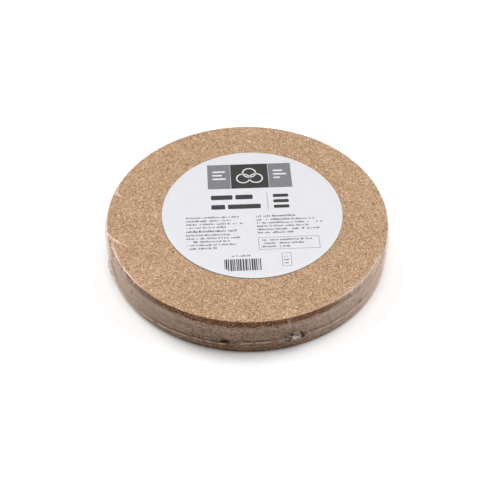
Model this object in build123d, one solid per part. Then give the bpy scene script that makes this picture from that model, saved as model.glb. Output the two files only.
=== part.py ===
from build123d import *
import os
from math import cos, radians, sin, tau

# A stack of three round cork trivets in clear shrink film, with a round card label on top.
# Millimetres, +Z up. The origin is the middle of the underside, on the table.

# Cork discs, from the table up
disc_names = ("trivet_bottom", "trivet_middle", "trivet_top")
trivet_radius = 98.0
trivet_thickness = 10.0
trivet_edge_round = 0.6

# Card label, which lies on the top disc a little off its middle
label_radius = 63.5
label_thickness = 0.25
label_shift_x = 3.3
label_shift_y = 3.6

# Clear film: a cup over the stack and a dish under it, loosest where they meet at the weld
film_thickness = 0.1
film_gap_at_rim = 0.3
film_gap_at_weld = 1.0

# Weld bead, a ring that stands on the dish's open edge and carries the cup's
weld_height = 9.5
bead_height = 0.5
bead_stand_out = 0.5

# Vent holes through the cup, just above the bead
vent_azimuths = (261.7, 320.5)
vent_width = 4.5
vent_height = 1.6
vent_rise = 1.8

# Bunched film at the bag's four corners: a puckered swell on the bead, a lump in its middle
# and pleats that fan out of it, long and short by turns
corner_count = 4
first_corner_azimuth = 18.6
swell_radius = 7.5
swell_depth = 0.9
lump_width = 8.0
lump_height = 4.4
pleat_count = 12
pleat_reach_across = 11.0
pleat_reach_up = 7.0
short_pleat_share = 0.78
pleat_root_width = 2.8
pleat_tip_width = 0.8
lift_clearance = 0.3

# Heights of the stack, from the table up
stack_base = film_thickness
stack_top = stack_base + len(disc_names) * trivet_thickness
label_top = stack_top + label_thickness
film_top = label_top + film_thickness
bead_low = weld_height - bead_height / 2
bead_high = weld_height + bead_height / 2

# Radii of the film at the discs' rims and at the weld
rim_inner = trivet_radius + film_gap_at_rim
rim_outer = rim_inner + film_thickness
weld_inner = trivet_radius + film_gap_at_weld
weld_outer = weld_inner + film_thickness
bead_outer = weld_outer + bead_stand_out

# The cup is pulled off straight up, so what stands beside it keeps out of this radius
lift_radius = weld_outer + lift_clearance


def drum(low, high, low_radius, high_radius):
    """A closed round solid between two heights, with straight sides from one radius to the other."""
    corners = [(0, low), (low_radius, low), (high_radius, high), (0, high)]
    half_section = Plane.XZ * make_face(Polyline(corners, close=True))
    return revolve(half_section, axis=Axis.Z)


def rim_circle(solid, end):
    """The circular edge at a round solid's lower end, 0, or its upper end, -1."""
    return solid.edges().filter_by(GeomType.CIRCLE).sort_by(Axis.Z)[end]


def cork_disc(base):
    """One trivet, with both of its rims slightly rounded."""
    disc = Pos(0, 0, base + trivet_thickness / 2) * Cylinder(trivet_radius, trivet_thickness)
    return fillet([rim_circle(disc, 0), rim_circle(disc, -1)], trivet_edge_round)


def card_label():
    """The round card, flat on the top disc."""
    middle = Pos(label_shift_x, label_shift_y, stack_top + label_thickness / 2)
    return middle * Cylinder(label_radius, label_thickness)


def film_cup():
    """The upper film: a sheet over the label and a skirt down to the weld, with vent holes."""
    outside = drum(bead_high, film_top, weld_outer, rim_outer)
    outside = fillet(rim_circle(outside, -1), trivet_edge_round + film_thickness)
    inside = drum(bead_high, label_top, weld_inner, rim_inner)
    inside = fillet(rim_circle(inside, -1), trivet_edge_round)
    cup = outside - inside
    for azimuth in vent_azimuths:
        cup -= vent_cutter(azimuth)
    return cup


def film_dish():
    """The lower film: a sheet under the stack and a wall up to the weld."""
    outside = lower_envelope()
    inside = drum(film_thickness, bead_low, rim_inner, weld_inner)
    inside = fillet(rim_circle(inside, 0), trivet_edge_round)
    return outside - inside


def lower_envelope():
    """Everything inside the lower film's outer face, as one closed solid."""
    outside = drum(0, bead_low, rim_outer, weld_outer)
    return fillet(rim_circle(outside, 0), trivet_edge_round + film_thickness)


def weld_bead():
    """The ring of melted film between the dish's open edge and the cup's."""
    return drum(bead_low, bead_high, bead_outer, bead_outer) - drum(
        bead_low, bead_high, weld_inner, weld_inner
    )


def side_plane(azimuth, radius, height):
    """A plane on the side of the stack: x runs round it, y runs up, z points outwards."""
    turn = radians(azimuth)
    outwards = (cos(turn), sin(turn), 0)
    around = (-sin(turn), cos(turn), 0)
    place = (radius * cos(turn), radius * sin(turn), height)
    return Plane(origin=place, x_dir=around, z_dir=outwards)


def vent_cutter(azimuth):
    """A short bar with round ends that cuts one vent hole."""
    place = side_plane(azimuth, weld_outer, bead_high + vent_rise)
    slot = place * SlotOverall(vent_width, vent_height)
    return extrude(slot, amount=film_gap_at_weld, both=True)


def swell():
    """The puckered patch of a bunch: the cap of a large ball, on a plug that reaches the discs."""
    ball_radius = (swell_radius**2 + swell_depth**2) / (2 * swell_depth)
    ball = Pos(0, 0, swell_depth - ball_radius) * Sphere(ball_radius)
    plug_reach = swell_depth + lift_radius - trivet_radius
    return ball & Cylinder(swell_radius, 2 * plug_reach)


def lump():
    """The middle of a bunch, long in x, before it is set on the side of the stack."""
    whole = Ellipse(lump_width / 2, lump_height / 2)
    upper_half = Pos(0, lump_height / 2) * Rectangle(lump_width, lump_height)
    return revolve(whole & upper_half, axis=Axis.X)


def pleat(azimuth, direction, reach_share):
    """One fold of film, a slender cone from the lump to its tip round the side of the stack."""
    across = reach_share * pleat_reach_across * cos(direction)
    tip_height = weld_height + reach_share * pleat_reach_up * sin(direction)
    tip_azimuth = azimuth + across / weld_outer * 360 / tau
    tip = side_plane(tip_azimuth, lift_radius, tip_height).origin
    root = side_plane(azimuth, lift_radius, weld_height).origin
    run = tip - root
    cone = Cone(pleat_root_width / 2, pleat_tip_width / 2, run.length)
    return Plane(origin=root + run / 2, z_dir=run) * cone


def corner_bunch(azimuth):
    """One bunched corner, trimmed to lie on the lower film and the bead, clear of the cup's path."""
    bunch = side_plane(azimuth, lift_radius, weld_height) * (swell() + lump())
    for number in range(pleat_count):
        direction = tau * (number + 0.5) / pleat_count
        reach_share = 1 if number % 2 == 0 else short_pleat_share
        bunch += pleat(azimuth, direction, reach_share)
    bunch -= lower_envelope()
    bunch -= drum(bead_low, bead_high, bead_outer, bead_outer)
    bunch -= drum(bead_high, film_top, lift_radius, lift_radius)
    return bunch


def corner_bunches():
    """The bunched corners, alike and evenly spaced round the bead."""
    bunch = corner_bunch(first_corner_azimuth)
    spacing = 360 / corner_count
    return [Rot(0, 0, spacing * number) * bunch for number in range(corner_count)]


os.makedirs("parts", exist_ok=True)
nodes = {
    "label_card": card_label(),
    "film_upper": film_cup(),
    "film_lower": film_dish(),
    "seal_bead": weld_bead(),
    "corner_gathers": Compound(children=corner_bunches()),
}
for level, name in enumerate(disc_names):
    nodes[name] = cork_disc(stack_base + level * trivet_thickness)
for name, solid in nodes.items():
    export_step(solid, f"parts/{name}.step")
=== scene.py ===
# %% [markdown]
# # A wrapped stack of cork trivets
# Three round trivets of pressed cork lie in a stack, with a round card label on the top one. Clear
# film has been shrunk tight round all of it. The plain solids of the pack come from CAD, and this
# lesson dresses each of them: crumbly cork, a printed card, wrinkled film, its weld and its corners.
# Every size is in metres, as in the CAD, so `mm` turns millimetres into metres.

# %% Load the solids
from math import cos, pi, radians, sin, tau

import bpy
import numpy as np
from mathutils import Matrix, Vector, noise


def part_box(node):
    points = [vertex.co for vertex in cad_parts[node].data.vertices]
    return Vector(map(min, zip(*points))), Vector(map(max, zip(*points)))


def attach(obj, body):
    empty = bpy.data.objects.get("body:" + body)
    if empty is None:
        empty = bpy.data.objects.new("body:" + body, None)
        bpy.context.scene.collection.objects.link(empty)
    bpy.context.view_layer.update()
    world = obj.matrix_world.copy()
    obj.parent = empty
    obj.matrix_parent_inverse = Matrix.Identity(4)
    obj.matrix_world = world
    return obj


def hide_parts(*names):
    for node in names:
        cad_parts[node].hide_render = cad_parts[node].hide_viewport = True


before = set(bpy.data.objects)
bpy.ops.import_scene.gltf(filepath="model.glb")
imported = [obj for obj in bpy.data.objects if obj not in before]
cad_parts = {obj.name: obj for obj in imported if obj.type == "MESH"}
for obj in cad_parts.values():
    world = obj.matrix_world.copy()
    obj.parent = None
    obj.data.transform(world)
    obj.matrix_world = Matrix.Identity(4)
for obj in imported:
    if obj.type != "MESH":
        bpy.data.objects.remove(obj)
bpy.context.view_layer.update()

mm = 0.001
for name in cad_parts:
    low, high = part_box(name)
    print(name, [round(side / mm, 2) for side in high - low], "mm")

# %% [markdown]
# The camera comes first, so that each piece can be looked at as soon as it is made. It stands in
# front of the stack and looks down at about 46 degrees, through a lens a little longer than normal,
# as a product is usually photographed. It is placed by its aim, its distance and its angles, because
# those can be changed one at a time.

# %% Place the camera
camera_aim = Vector((1.947, -3.982, 0)) * mm
camera_distance = 802.36 * mm
camera_elevation = radians(45.729)
camera_roll = radians(0.470)
# Focal length in millimetres, for a sensor 36 mm wide
camera_lens = 80.515

camera = bpy.data.objects.new("camera", bpy.data.cameras.new("camera"))
camera.data.sensor_width = 36
camera.data.lens = camera_lens
camera.data.clip_start = 0.01
camera_turn = Matrix.Rotation(pi / 2 - camera_elevation, 4, "X") @ Matrix.Rotation(camera_roll, 4, "Z")
camera.matrix_world = (
    Matrix.Translation(camera_aim) @ camera_turn @ Matrix.Translation((0, 0, camera_distance))
)
bpy.context.scene.collection.objects.link(camera)
bpy.context.scene.camera = camera
print("camera at", [round(part, 3) for part in camera.matrix_world.translation])

# %% [markdown]
# Materials and geometry trees are both graphs of nodes. Adding each node by hand takes many lines, so
# two small classes do it. `Graph.node` adds any node: its settings first, then its sockets. `Wire` is
# the value that leaves a node, and Python's own signs work on it, so that `1 - mask` adds a Math node.
# The rest of `Graph` holds the few groups of nodes that several materials here share.

# %% Write nodes as sums
class Wire:
    """The value that leaves a node's socket."""

    def __init__(self, graph, socket):
        self.graph, self.socket = graph, socket

    def also(self, output):
        """Another output of the same node."""
        return Wire(self.graph, self.socket.node.outputs[output])

    def maths(self, operation, *values):
        return self.graph.node("ShaderNodeMath", {"operation": operation}, dict(enumerate(values)))

    def __add__(self, other):
        return self.maths("ADD", self, other)

    def __radd__(self, other):
        return self.maths("ADD", other, self)

    def __sub__(self, other):
        return self.maths("SUBTRACT", self, other)

    def __rsub__(self, other):
        return self.maths("SUBTRACT", other, self)

    def __mul__(self, other):
        return self.maths("MULTIPLY", self, other)

    def __rmul__(self, other):
        return self.maths("MULTIPLY", other, self)

    def __truediv__(self, other):
        return self.maths("DIVIDE", self, other)

    def __rtruediv__(self, other):
        return self.maths("DIVIDE", other, self)

    def __pow__(self, other):
        return self.maths("POWER", self, other)

    def rise(self, low, high):
        """0 below low and 1 above high, with a smooth step between them. It falls if high is less."""
        return self.graph.node(
            "ShaderNodeMapRange",
            {"interpolation_type": "SMOOTHSTEP"},
            {"Value": self, "From Min": low, "From Max": high},
        )


class Graph:
    """A tree of nodes, for a material or for geometry."""

    def __init__(self, tree):
        self.tree = tree

    def node(self, kind, settings=None, sockets=None, output=0):
        """Add a node, and give the value that leaves it."""
        made = self.tree.nodes.new(kind)
        for name, value in (settings or {}).items():
            setattr(made, name, value)
        for name, value in (sockets or {}).items():
            if isinstance(value, Wire):
                self.tree.links.new(value.socket, made.inputs[name])
            else:
                made.inputs[name].default_value = value
        return Wire(self, made.outputs[output]) if made.outputs else None

    def mix(self, share, first, second):
        """A colour between two colours."""
        return self.node("ShaderNodeMix", {"data_type": "RGBA"}, {0: share, 6: first, 7: second}, 2)

    def tint(self, colour, share):
        """A colour made darker or lighter by a value."""
        return self.node("ShaderNodeVectorMath", {"operation": "SCALE"}, {0: colour, "Scale": share})

    def stretched(self, place, across, up):
        """Places scaled sideways and upwards, so that a pattern on them is drawn out."""
        return self.node(
            "ShaderNodeVectorMath", {"operation": "MULTIPLY"}, {0: place, 1: (across, across, up)}
        )

    def place(self):
        """Where a point of the piece lies, as its mesh has it."""
        return self.node("ShaderNodeTexCoord", output="Object")

    def noise(self, place, scale, detail):
        """Smooth random values at places, with about so many waves to a metre."""
        return self.node("ShaderNodeTexNoise", None, {"Vector": place, "Scale": scale, "Detail": detail})

    def kept(self, attribute):
        """The value that a piece keeps for each of its points under this name."""
        return self.node("ShaderNodeAttribute", {"attribute_name": attribute}, output="Fac")

    def side(self, low, high):
        """1 on a face that stands upright and 0 on one that lies flat, with a smooth step between."""
        facing = self.node("ShaderNodeNewGeometry", output="Normal")
        upright = self.node("ShaderNodeSeparateXYZ", None, {"Vector": facing}, "Z")
        return 1 - upright.maths("ABSOLUTE", upright).rise(low, high)

    def bump(self, height, strength, depth):
        """A fine relief in the surface, this many millimetres deep."""
        sockets = {"Height": height, "Strength": strength, "Distance": depth * mm}
        return self.node("ShaderNodeBump", None, sockets)

    def surface(self, shader):
        """End a material in its shader."""
        self.node("ShaderNodeOutputMaterial", None, {"Surface": shader})


def colour(red, green, blue):
    """A colour as nodes take it, from a plain linear one."""
    return (red, green, blue, 1)


def new_material(name):
    """An empty material and the graph of its nodes."""
    material = bpy.data.materials.new(name)
    material.use_nodes = True
    material.node_tree.nodes.clear()
    return material, Graph(material.node_tree)


print("nodes are written as sums")

# %% [markdown]
# Nearly every piece here is round, so one helper makes all of their meshes. It stretches a skin from
# ring to ring, as cloth is laid over hoops. A ring may have half or twice as many points as the last,
# which keeps the faces of a flat disc from crowding at its middle.

# %% Stretch a skin over rings
def ring(radius, height, count):
    """Points on a circle, or the one point at its middle."""
    if radius == 0:
        return np.array([(0, 0, height)])
    turn = np.arange(count) * tau / count
    return np.stack([radius * np.cos(turn), radius * np.sin(turn), np.full(count, height)], axis=1)


def between(upper, lower, upper_count, lower_count):
    """Faces between two rings, from the numbers of their first points."""
    k = np.arange(min(upper_count, lower_count))
    after = (k + 1) % len(k)
    if upper_count == lower_count:
        return np.stack([upper + k, lower + k, lower + after, upper + after], axis=1).tolist()
    if upper_count == 1:
        k = np.arange(lower_count)
        after = (k + 1) % lower_count
        return np.stack([upper + 0 * k, lower + k, lower + after], axis=1).tolist()
    if lower_count == 1:
        k = np.arange(upper_count)
        after = (k + 1) % upper_count
        return np.stack([upper + k, lower + 0 * k, upper + after], axis=1).tolist()
    if lower_count == 2 * upper_count:
        last = (2 * k + 2) % lower_count
        corners = [
            (upper + k, lower + 2 * k, lower + 2 * k + 1),
            (upper + k, lower + 2 * k + 1, upper + after),
            (upper + after, lower + 2 * k + 1, lower + last),
        ]
    else:
        last = (2 * k + 2) % upper_count
        corners = [
            (upper + 2 * k, lower + k, upper + 2 * k + 1),
            (upper + 2 * k + 1, lower + k, lower + after),
            (upper + 2 * k + 1, lower + after, upper + last),
        ]
    return np.concatenate([np.stack(three, axis=1) for three in corners]).tolist()


def skin(rings):
    """Points and faces of a skin over rings, which faces outwards if they run from the top down."""
    counts = [len(points) for points in rings]
    starts = np.cumsum([0] + counts)
    faces = []
    for number in range(len(rings) - 1):
        faces += between(starts[number], starts[number + 1], counts[number], counts[number + 1])
    return np.concatenate(rings), faces


def new_piece(name, points, faces, material=None, smooth=True, edges=()):
    """An object at the origin with a mesh of these points, in millimetres."""
    mesh = bpy.data.meshes.new(name)
    mesh.from_pydata((np.asarray(points) * mm).tolist(), edges, faces)
    mesh.polygons.foreach_set("use_smooth", [smooth] * len(mesh.polygons))
    if material:
        mesh.materials.append(material)
    piece = bpy.data.objects.new(name, mesh)
    bpy.context.scene.collection.objects.link(piece)
    return piece


def store(piece, name, values):
    """Keep one value for each point of a piece, for its material or its tree to read."""
    layer = piece.data.attributes.new(name, "FLOAT", "POINT")
    layer.data.foreach_set("value", np.asarray(values, dtype=np.float32))


def ease(values, low, high):
    """0 at low and 1 at high, with a smooth step between them."""
    share = np.clip((values - low) / (high - low), 0, 1)
    return share * share * (3 - 2 * share)


def count_faces(piece):
    piece.data.calc_loop_triangles()
    print(piece.name, len(piece.data.loop_triangles), "triangles")


# %% [markdown]
# Geometry Nodes make what repeats or follows a surface. A tree is built once, with a named input for
# each of its sizes. `grow` puts it on a piece, sets those inputs, and keeps the plain mesh that comes
# out, so that nothing live is left on the finished piece.

# %% Grow a piece with a tree
def new_tree(name, inputs):
    """A geometry tree with these inputs, its graph, and the values of the inputs by name."""
    tree = bpy.data.node_groups.new(name, "GeometryNodeTree")
    tree.interface.new_socket("Geometry", in_out="INPUT", socket_type="NodeSocketGeometry")
    for title, kind in inputs.items():
        tree.interface.new_socket(title, in_out="INPUT", socket_type=f"NodeSocket{kind}")
    tree.interface.new_socket("Geometry", in_out="OUTPUT", socket_type="NodeSocketGeometry")
    graph = Graph(tree)
    start = graph.node("NodeGroupInput")
    return graph, {title: start.also(title) for title in ["Geometry", *inputs]}


def end_tree(graph, geometry, material):
    """End a tree in plain geometry with its material."""
    plain = graph.node("GeometryNodeRealizeInstances", None, {"Geometry": geometry})
    painted = graph.node("GeometryNodeSetMaterial", None, {"Geometry": plain, "Material": material})
    graph.node("NodeGroupOutput", None, {"Geometry": painted})
    return graph.tree


def grow(piece, tree, values):
    """Run a tree on a piece with these inputs, and keep the plain mesh."""
    grower = piece.modifiers.new(tree.name, "NODES")
    grower.node_group = tree
    for item in tree.interface.items_tree:
        if item.in_out == "INPUT" and item.name in values:
            grower[item.identifier] = values[item.name]
    evaluated = piece.evaluated_get(bpy.context.evaluated_depsgraph_get())
    mesh = bpy.data.meshes.new_from_object(evaluated)
    mesh.name = piece.name
    piece.modifiers.remove(grower)
    piece.data = mesh
    count_faces(piece)


# %% [markdown]
# Agglomerated cork is bark ground to grains of about a millimetre and pressed with a little binder.
# Each grain keeps a shade of its own, from pale tan to brown, and a few are dark bark. A Voronoi
# texture splits space into just such grains and gives each a random colour, so two of them, at two
# grain sizes, mix pale cork with brown. The sawn side is darker and warmer, partly because sawing
# scorches it and partly as painted shade, since less light reaches an upright face than the top, and
# its grains differ more. Little light reaches the seams between the discs, the foot of the stack and
# the pits where grains were knocked out, so painted shade darkens all three. The patterns read
# Object coordinates, so they go right through the disc, as real grains do.

# %% Mix the cork
coarse_grain, fine_grain = 1.3, 0.60
# Painted shade in bands round the side, at the two seams between the discs and at the foot of the
# stack: height and reach in millimetres, and how dark
shade_bands = ((10.8, 1.1, 0.75), (20.2, 0.7, 0.35), (0.1, 1.6, 0.70))


def cork_paint():
    material, graph = new_material("cork")
    place = graph.place()

    def grains(size, feature="F1"):
        """Grains of one size in millimetres: how far a point is from its grain's middle or border."""
        return graph.node(
            "ShaderNodeTexVoronoi",
            {"feature": feature},
            {"Vector": place, "Scale": 1 / (size * mm), "Randomness": 1.0},
        )

    def shade_of(grain):
        """Each grain's own random value."""
        return graph.node("ShaderNodeSeparateColor", None, {"Color": grain.also("Color")})

    coarse, fine = shade_of(grains(coarse_grain)), shade_of(grains(fine_grain))
    border = grains(fine_grain, "DISTANCE_TO_EDGE").rise(0.0, 0.14)
    specks = graph.noise(place, 1 / (0.36 * mm), 2.0)
    clouds = graph.noise(place, 1 / (24 * mm), 2.0)
    shade = (coarse - 0.5) * 0.08 + (fine - 0.5) * 1.15 + (specks - 0.5) * 3.3 - (1 - border) * 0.10

    even = (0.5 + shade + (clouds - 0.5) * 0.26).rise(-0.35, 1.35)
    pressed = graph.mix(even, colour(0.180, 0.082, 0.034), colour(0.610, 0.436, 0.278))
    # Odd grains: which they are, how strongly they show, and their colour
    odd_grains = {
        "ruddy": (fine.also("Blue").rise(0.5, 1.0), 0.35, colour(0.46, 0.27, 0.155)),
        "bark": (fine.also("Green").rise(0.972, 0.980), 0.75, colour(0.11, 0.060, 0.038)),
        "fleck": (coarse.also("Green").rise(0.993, 0.996), 0.65, colour(0.10, 0.050, 0.030)),
        "pale": (coarse.also("Blue").rise(0.97, 0.98), 0.5, colour(0.72, 0.56, 0.40)),
    }
    for which, strength, tone in odd_grains.values():
        pressed = graph.mix(which * strength, pressed, tone)

    # The sawn side is darker than the top: partly the cut cork's own scorched colour, partly painted shade
    uneven = (0.34 + shade * 1.80).rise(-0.2, 1.2)
    sawn_and_shaded = graph.mix(uneven, colour(0.017, 0.005, 0.002), colour(0.325, 0.155, 0.063))
    height = graph.node("ShaderNodeSeparateXYZ", None, {"Vector": place}, "Z")
    # Painted shade at the seams between the discs and at the foot of the stack
    shaded = 0
    for middle, reach, depth in shade_bands:
        from_band = height - middle * mm
        shaded = shaded + from_band.maths("ABSOLUTE", from_band).rise(reach * mm, 0.2 * mm) * depth
    sawn_and_shaded = graph.tint(sawn_and_shaded, 1 - shaded)

    # Upright faces take the sawn colour, with its painted shade
    whole = graph.mix(graph.side(0.66, 0.90), pressed, sawn_and_shaded)
    # Painted shade in the chips, darkening the cork nearly to black
    chip_shade_share = graph.kept("chip_shade") * (0.75 + fine * 0.25)
    shader = graph.node(
        "ShaderNodeBsdfPrincipled",
        None,
        {
            "Base Color": graph.mix(chip_shade_share, whole, colour(0.010, 0.005, 0.003)),
            "Roughness": 0.82 + specks * 0.14,
            "Specular IOR Level": 0.25,
            "Normal": graph.bump(border * 0.6 + specks * 0.5, 0.35, 0.25),
        },
    )
    graph.surface(shader)
    return material


cork = cork_paint()
print("cork mixed with", len(cork.node_tree.nodes), "nodes")

# %% [markdown]
# A trivet is a disc punched from a sheet of cork, so its faces are flat and its rims are slightly
# worn. Grains have crumbled out along the side and the rims. A tree pushes each point inwards by a
# random relief of grains, and by a few deeper pits where a whole grain is missing. It only moves the
# points near the rim and on the side, where the mesh is fine enough to hold that shape.

# %% Crumble the side of a disc
def crumble_tree():
    graph, given = new_tree(
        "crumble",
        {
            "Grain Size": "Float",
            "Relief": "Float",
            "Pit Size": "Float",
            "Pit Depth": "Float",
            "Pit Share": "Float",
            "Seed": "Float",
            "Material": "Material",
        },
    )
    place = graph.node("GeometryNodeInputPosition")
    shift = graph.node("ShaderNodeCombineXYZ", None, {"X": given["Seed"], "Y": given["Seed"] * 0.7})
    moved = graph.node("ShaderNodeVectorMath", {"operation": "ADD"}, {0: place, 1: shift})
    grains = graph.node("ShaderNodeTexVoronoi", None, {"Vector": moved, "Scale": 1 / given["Grain Size"]})
    pits = graph.node("ShaderNodeTexVoronoi", None, {"Vector": moved, "Scale": 1 / given["Pit Size"]})
    lottery = graph.node("FunctionNodeSeparateColor", None, {"Color": pits.also("Color")})
    missing = lottery.maths("LESS_THAN", lottery, given["Pit Share"]) * pits.rise(0.55, 0.15)
    share = graph.node("GeometryNodeInputNamedAttribute", {"data_type": "FLOAT"}, {"Name": "crumbly"})
    depth = (grains * given["Relief"] + missing * given["Pit Depth"]) * share
    normal = graph.node("GeometryNodeInputNormal")
    offset = graph.node(
        "ShaderNodeVectorMath", {"operation": "SCALE"}, {0: normal, "Scale": depth * -1.0}
    )
    crumbled = graph.node(
        "GeometryNodeSetPosition", None, {"Geometry": given["Geometry"], "Offset": offset}
    )
    return end_tree(graph, crumbled, given["Material"])


crumble = crumble_tree()
print("the crumble tree has", len(crumble.nodes), "nodes")

# %% [markdown]
# The three discs are one shape at three heights. Their sizes are read from the CAD solids that they
# stand for, and each rides on the body of its own trivet. At three places a small chip is missing
# from a rim: the points there are pushed in before the tree runs, and painted shade darkens the cork
# in them.

# %% Press the three discs
side_count = 1024
side_levels = 15
rim_round = 0.45
# The tree's relief starts at this radius and is full this much further out
crumbly_from, crumbly_over = 94, 2.5
# Grains knocked out of a rim: azimuth, height, half width, half height, depth
chips = [(261.9, 9.3, 3.5, 2.1, 3.0), (320.5, 10.4, 2.6, 1.8, 2.2), (203.6, 9.6, 1.8, 1.5, 1.8)]
flat_rings = [(0, 1), (6, 64), (12, 128), (18, 128), (24, 256), (32, 256), (40, 512), (48, 512)]
flat_rings += [(radius, 1024) for radius in (56, 64, 72, 80, 87, 92)]


def cork_disc(name, seed):
    """One trivet, in place of the solid of the same name."""
    low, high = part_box(name)
    radius, base, top = (high.x - low.x) / 2 / mm, low.z / mm, high.z / mm
    rim = [(r, top) for r in (94, 95, 95.7, 96.3, 96.8, radius - rim_round)]
    for step in (1, 2, 3, 4):
        turn = step / 4 * pi / 2
        rim.append((radius - rim_round * (1 - sin(turn)), top - rim_round * (1 - cos(turn))))
    wall = top - base - 2 * rim_round
    shares = np.linspace(0, 1, side_levels)[1:-1]
    profile = rim + [(radius, top - rim_round - share * wall) for share in shares]
    profile += [(r, top + base - z) for r, z in rim[::-1]]
    rings = [ring(r, top, count) for r, count in flat_rings]
    rings += [ring(r, z, side_count) for r, z in profile]
    rings += [ring(r, base, count) for r, count in flat_rings[::-1]]
    points, faces = skin(rings)
    crumbly = np.clip((np.hypot(*points[:, :2].T) - crumbly_from) / crumbly_over, 0, 1)
    chip_shade = np.zeros(len(points))
    for azimuth, height, half_wide, half_high, depth in chips:
        turn = radians(azimuth)
        x, y = points @ (-sin(turn), cos(turn), 0) / half_wide, (points[:, 2] - height) / half_high
        facing = points @ (cos(turn), sin(turn), 0) > 0
        near = facing * np.exp(-(x**4) - y**2) * np.clip(np.hypot(*points[:, :2].T) - 95, 0, 1)
        points -= np.outer(depth * near, (cos(turn), sin(turn), 0))
        # Painted shade for the chip, full over most of it, kept for the cork material to read
        chip_shade = np.maximum(chip_shade, ease(near, 0.12, 0.5))
    disc = new_piece(name + "_cork", points, faces)
    store(disc, "crumbly", crumbly)
    store(disc, "chip_shade", chip_shade)
    grow(
        disc,
        crumble,
        {
            "Grain Size": 1.3 * mm,
            "Relief": 0.16 * mm,
            "Pit Size": 2.6 * mm,
            "Pit Depth": 0.55 * mm,
            "Pit Share": 0.10,
            "Seed": seed,
            "Material": cork,
        },
    )
    return disc


for seed, level in enumerate(("bottom", "middle", "top")):
    disc = cork_disc(f"trivet_{level}", seed * 0.37)
    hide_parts(f"trivet_{level}")
    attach(disc, f"{level}_trivet")

# %% [markdown]
# The label is a disc of smooth white card, a quarter of a millimetre thick, laid on the cork a little
# off its middle. Its faces are a cool white with the faint cloudiness of paper, and its cut edge
# carries painted shade, a dark brown for the shade under it. It could be a bare cylinder, but the
# edge of a card is softened by the knife and lifts a little, and that lift, with the painted edge,
# draws its thin outline.

# %% Cut the card
def card_paint():
    material, graph = new_material("card")
    place = graph.place()
    cloud, fibre = graph.noise(place, 160.0, 4.0), graph.noise(place, 2200.0, 3.0)
    paper = graph.mix(cloud.rise(0.35, 0.65), colour(0.573, 0.584, 0.616), colour(0.589, 0.599, 0.628))
    shader = graph.node(
        "ShaderNodeBsdfPrincipled",
        None,
        {
            # The cut edge takes painted shade, a dark brown for the shade under the lifted card
            "Base Color": graph.mix(graph.side(0.3, 0.8), paper, colour(0.06, 0.045, 0.035)),
            "Roughness": 0.50 + fibre * 0.12,
            "Specular IOR Level": 0.3,
            "Normal": graph.bump(fibre, 0.08, 0.05),
        },
    )
    graph.surface(shader)
    return material


card_low, card_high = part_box("label_card")
card_middle = (card_low + card_high) / 2
card_radius = (card_high.x - card_low.x) / 2 / mm
card_base = card_low.z / mm
card_wall = 0.22
card_top = card_base + card_wall
# The card's edge lifts by this much, over this last stretch of its radius
card_curl, curl_reach = 0.30, 3.5

card_inner = [(6, 64), (14, 128), (28, 256), (44, 256)]
card_inner += [(card_radius - inset, 256) for inset in (3.6, 2.8, 2.0, 1.2, 0.5)]
card_profile = [(radius, card_top, count) for radius, count in card_inner]
card_profile += [(card_radius - 0.06, card_top, 256), (card_radius, card_top - 0.05, 256)]
card_profile += [(card_radius, card_base + 0.02, 256), (card_radius - 0.05, card_base, 256)]
card_profile += [(radius, card_base, count) for radius, count in card_inner[::-1]]
card_rings = [ring(0, card_top, 1)] + [ring(*three) for three in card_profile] + [ring(0, card_base, 1)]
card_points, card_faces = skin(card_rings)
from_middle = np.hypot(*card_points[:, :2].T)
card_points[:, 2] += card_curl * ease(from_middle, card_radius - curl_reach, card_radius)
card_points = card_points + [card_middle.x / mm, card_middle.y / mm, 0]
label = new_piece("label_card_paper", card_points, card_faces, card_paint())
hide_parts("label_card")
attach(label, "label")
count_faces(label)

# %% [markdown]
# The label is printed in black and grey on bare card, and a pale ink stands for bare card inside the
# dark panel, where it is simpler than a hole in the panel's sheet. The design is a plain one: a dark
# panel with three rings for three round trivets, bars where a heading would stand, rows of small
# blocks where small print would, and a field of upright bars. Print is only ink, but a thin closed
# sheet of it keeps a crisp edge at any distance, so the print is a few such sheets in each ink.

# %% Mix the inks
def ink_paint(name, red, green, blue):
    """Offset ink: nearly even, a little thin in places, with a satin surface."""
    material, graph = new_material(name)
    press = graph.noise(graph.place(), 900.0, 3.0)
    thick = colour(red * 0.88, green * 0.88, blue * 0.88)
    thin = colour(red * 1.1, green * 1.1, blue * 1.1)
    shader = graph.node(
        "ShaderNodeBsdfPrincipled",
        None,
        {
            "Base Color": graph.mix(press.rise(0.3, 0.7), thick, thin),
            "Roughness": 0.42 + press * 0.12,
            "Specular IOR Level": 0.3,
        },
    )
    graph.surface(shader)
    return material


black_ink = ink_paint("black_ink", 0.022, 0.022, 0.023)
grey_ink = ink_paint("grey_ink", 0.165, 0.165, 0.185)
pale_ink = ink_paint("pale_ink", 0.62, 0.63, 0.66)
ink_height = 0.012
# Each sheet of ink starts this far inside the card, so that no gap shows under it
ink_sunk = 0.004
label_turn = radians(3.5)


def on_label(points, height):
    """Places on the label, from its own middle and upright, turned and moved to where it lies."""
    points = np.asarray(points, float)
    across = points[:, 0] * cos(label_turn) - points[:, 1] * sin(label_turn)
    along = points[:, 0] * sin(label_turn) + points[:, 1] * cos(label_turn)
    return np.stack(
        [across + card_middle.x / mm, along + card_middle.y / mm, np.full(len(points), height)], axis=1
    )


print("three inks, each", ink_height, "mm thick")


# %% [markdown]
# Every printed shape is an outline with a little height. A helper makes a sheet of ink from a loop of
# points, or from a loop with a hole in it, such as a ring or a frame.

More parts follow.
